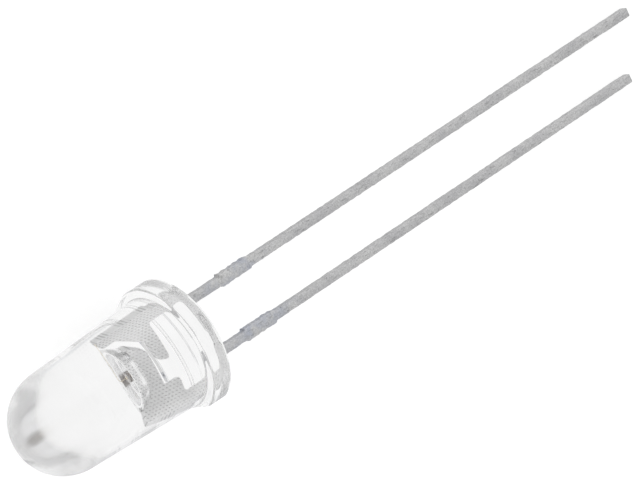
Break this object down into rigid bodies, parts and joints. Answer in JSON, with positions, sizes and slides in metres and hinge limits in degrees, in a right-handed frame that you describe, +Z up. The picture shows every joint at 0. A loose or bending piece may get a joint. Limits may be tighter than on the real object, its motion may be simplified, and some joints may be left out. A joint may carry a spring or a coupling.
{
  "type": "through hole led",
  "caption": "Clear round-dome light-emitting diode with a flanged epoxy lens, a reflector cup inside and two straight square leads of unequal length.",
  "frame": {"origin": "centre of the seating face, the back of the flange, on the axis of the lens", "axes": "the part lies as it comes to rest: +Z up, -X towards the dome, +X towards the lead tips, +Y towards the anode; the lens's axis drops 5.785 degrees towards the lead tips, and the plane of the leads is rolled 2.972 degrees about that axis, because the longer anode lead also touches the surface"},
  "size_m": [0.0361, 0.0055, 0.0059],
  "materials": {
    "clear_epoxy": "gloss",
    "tinned_steel": "satin",
    "silver_epoxy": "matte",
    "chip": "gloss",
    "gold": "polished"
  },
  "bodies": {
    "root": {"lens_body": "clear_epoxy", "anode_lead": "tinned_steel", "cathode_lead": "tinned_steel", "die_attach": "silver_epoxy", "led_die": "chip", "bond_wire": "gold"}
  },
  "joints": []
}
